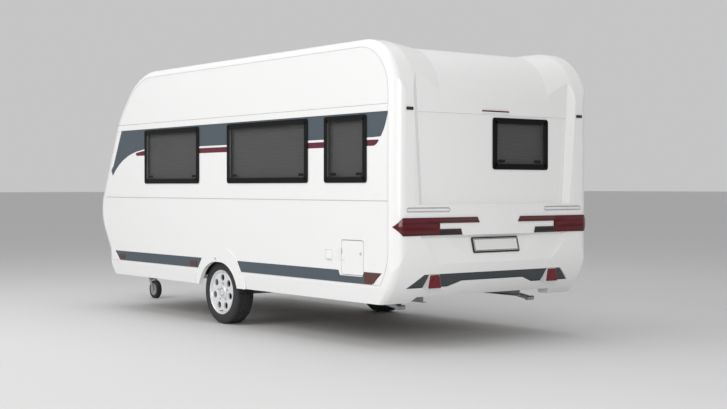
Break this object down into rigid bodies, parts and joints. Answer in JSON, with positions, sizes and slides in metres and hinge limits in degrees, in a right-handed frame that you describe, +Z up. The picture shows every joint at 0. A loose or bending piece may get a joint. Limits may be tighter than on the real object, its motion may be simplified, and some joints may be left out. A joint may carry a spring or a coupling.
{
  "type": "travel caravan",
  "caption": "Single-axle touring caravan with a rounded white body, dark and burgundy side stripes, tinted windows, an A-frame drawbar, ball coupling and jockey wheel.",
  "frame": {"origin": "on the ground, at the middle of the overall length and width", "axes": "+X forward to the coupling, +Y to the left side, +Z up"},
  "size_m": [6.64, 2.34, 2.626],
  "materials": {
    "panel_white": "smooth white coachwork, gloss",
    "skirt_white": "smooth white moulding, satin",
    "galvanised": "hot-dip galvanised, matt spangle",
    "cast_black": "black painted casting",
    "black_metal": "black powder coat, satin",
    "tyre_rubber": "moulded tread rubber",
    "rim_silver": "silver lacquered wheel",
    "tinted_pane": "tinted double pane, gloss",
    "blind_cloth": "pleated blackout cloth",
    "lamp_red": "clear red lens",
    "lamp_amber": "amber lens",
    "floor_ply": "sealed plywood",
    "liner_plastic": "textured black liner",
    "bottle_paint": "grey painted steel bottle",
    "plate_white": "bare white reflective plate",
    "strip_white": "white lacquered extrusion",
    "rooflight_clear": "milky acrylic dome",
    "vent_white": "white moulded grille",
    "bellows_rubber": "corrugated rubber",
    "handle_white": "white moulded grip"
  },
  "bodies": {
    "caravan": {"arch_trims": "skirt_white", "axle_beam": "galvanised", "bellows": "bellows_rubber", "blinds": "blind_cloth", "chassis_rails": "galvanised", "coupling_head": "black_metal", "cross_members": "galvanised", "draw_tube": "galvanised", "drawbar": "galvanised", "end_markers": "lamp_red", "floor": "floor_ply", "fridge_vents": "vent_white", "front_apron": "skirt_white", "front_wall": "panel_white", "gas_bottles": "bottle_paint", "grab_handles": "handle_white", "handbrake_lever": "black_metal", "hinge_knuckles": "galvanised", "jockey_clamp": "galvanised", "locker_bulkhead": "floor_ply", "number_plate": "plate_white", "overrun_housing": "cast_black", "plate_holder": "liner_plastic", "rear_bumper": "panel_white", "rear_reflectors": "lamp_red", "rear_wall": "panel_white", "roof": "panel_white", "rooflights": "rooflight_clear", "service_locker": "liner_plastic", "side_markers": "lamp_amber", "side_wall_left": "panel_white", "side_wall_right": "panel_white", "skirts": "skirt_white", "steady_brackets": "galvanised", "swing_arms": "galvanised", "tail_lamps": "lamp_red", "wall_strips": "strip_white", "wheel_arches": "liner_plastic", "window_front": "tinted_pane", "window_rear": "tinted_pane", "windows_left": "tinted_pane", "windows_right": "tinted_pane"},
    "door": {"door_leaf": "panel_white", "door_window": "tinted_pane", "door_handle": "liner_plastic"},
    "service_flap": {"service_flap": "panel_white"},
    "gas_locker_lid": {"gas_locker_lid": "panel_white"},
    "wheel_left": {"tyre_left": "tyre_rubber", "rim_left": "rim_silver", "brake_drum_left": "cast_black"},
    "wheel_right": {"tyre_right": "tyre_rubber", "rim_right": "rim_silver", "brake_drum_right": "cast_black"},
    "steady_rear_left": {"steady_rear_left": "galvanised"},
    "steady_rear_right": {"steady_rear_right": "galvanised"},
    "steady_front_left": {"steady_front_left": "galvanised"},
    "steady_front_right": {"steady_front_right": "galvanised"},
    "jockey_rod": {"jockey_rod": "galvanised"},
    "jockey_fork": {"jockey_fork": "galvanised"},
    "jockey_wheel": {"jockey_wheel": "bellows_rubber"}
  },
  "joints": [
    {"name": "wheel_left_spin", "type": "hinge", "parent": "caravan", "child": "wheel_left", "pos_m": [-0.457, 0.9875, 0.316], "axis": [0, 1, 0], "continuous": true},
    {"name": "wheel_right_spin", "type": "hinge", "parent": "caravan", "child": "wheel_right", "pos_m": [-0.457, -0.9875, 0.316], "axis": [0, 1, 0], "continuous": true},
    {"name": "door_swing", "type": "hinge", "parent": "caravan", "child": "door", "pos_m": [0.593, -1.163, 1.4], "axis": [0, 0, 1], "range_deg": [0, 165]},
    {"name": "service_flap_swing", "type": "hinge", "parent": "caravan", "child": "service_flap", "pos_m": [-2.562, 1.163, 0.81], "axis": [0, 0, -1], "range_deg": [0, 150]},
    {"name": "gas_locker_lid_lift", "type": "hinge", "parent": "caravan", "child": "gas_locker_lid", "pos_m": [2.07578, 0, 1.29858], "axis": [0, -1, 0], "range_deg": [0, 80]},
    {"name": "steady_rear_left_drop", "type": "hinge", "parent": "caravan", "child": "steady_rear_left", "pos_m": [-2.41, 0.78, 0.4], "axis": [0, -1, 0], "range_deg": [0, 38]},
    {"name": "steady_rear_right_drop", "type": "hinge", "parent": "caravan", "child": "steady_rear_right", "pos_m": [-2.41, -0.78, 0.4], "axis": [0, -1, 0], "range_deg": [0, 38]},
    {"name": "steady_front_left_drop", "type": "hinge", "parent": "caravan", "child": "steady_front_left", "pos_m": [1.02, 0.78, 0.4], "axis": [0, 1, 0], "range_deg": [0, 38]},
    {"name": "steady_front_right_drop", "type": "hinge", "parent": "caravan", "child": "steady_front_right", "pos_m": [1.02, -0.78, 0.4], "axis": [0, 1, 0], "range_deg": [0, 38]},
    {"name": "jockey_slide", "type": "slide", "parent": "caravan", "child": "jockey_rod", "axis": [0, 0, 1], "range_m": [0, 0.1]},
    {"name": "jockey_swivel", "type": "hinge", "parent": "jockey_rod", "child": "jockey_fork", "pos_m": [2.615, 0.205, 0.25], "axis": [0, 0, 1], "continuous": true},
    {"name": "jockey_wheel_spin", "type": "hinge", "parent": "jockey_fork", "child": "jockey_wheel", "pos_m": [2.54, 0.205, 0.11], "axis": [0, 1, 0], "continuous": true}
  ]
}
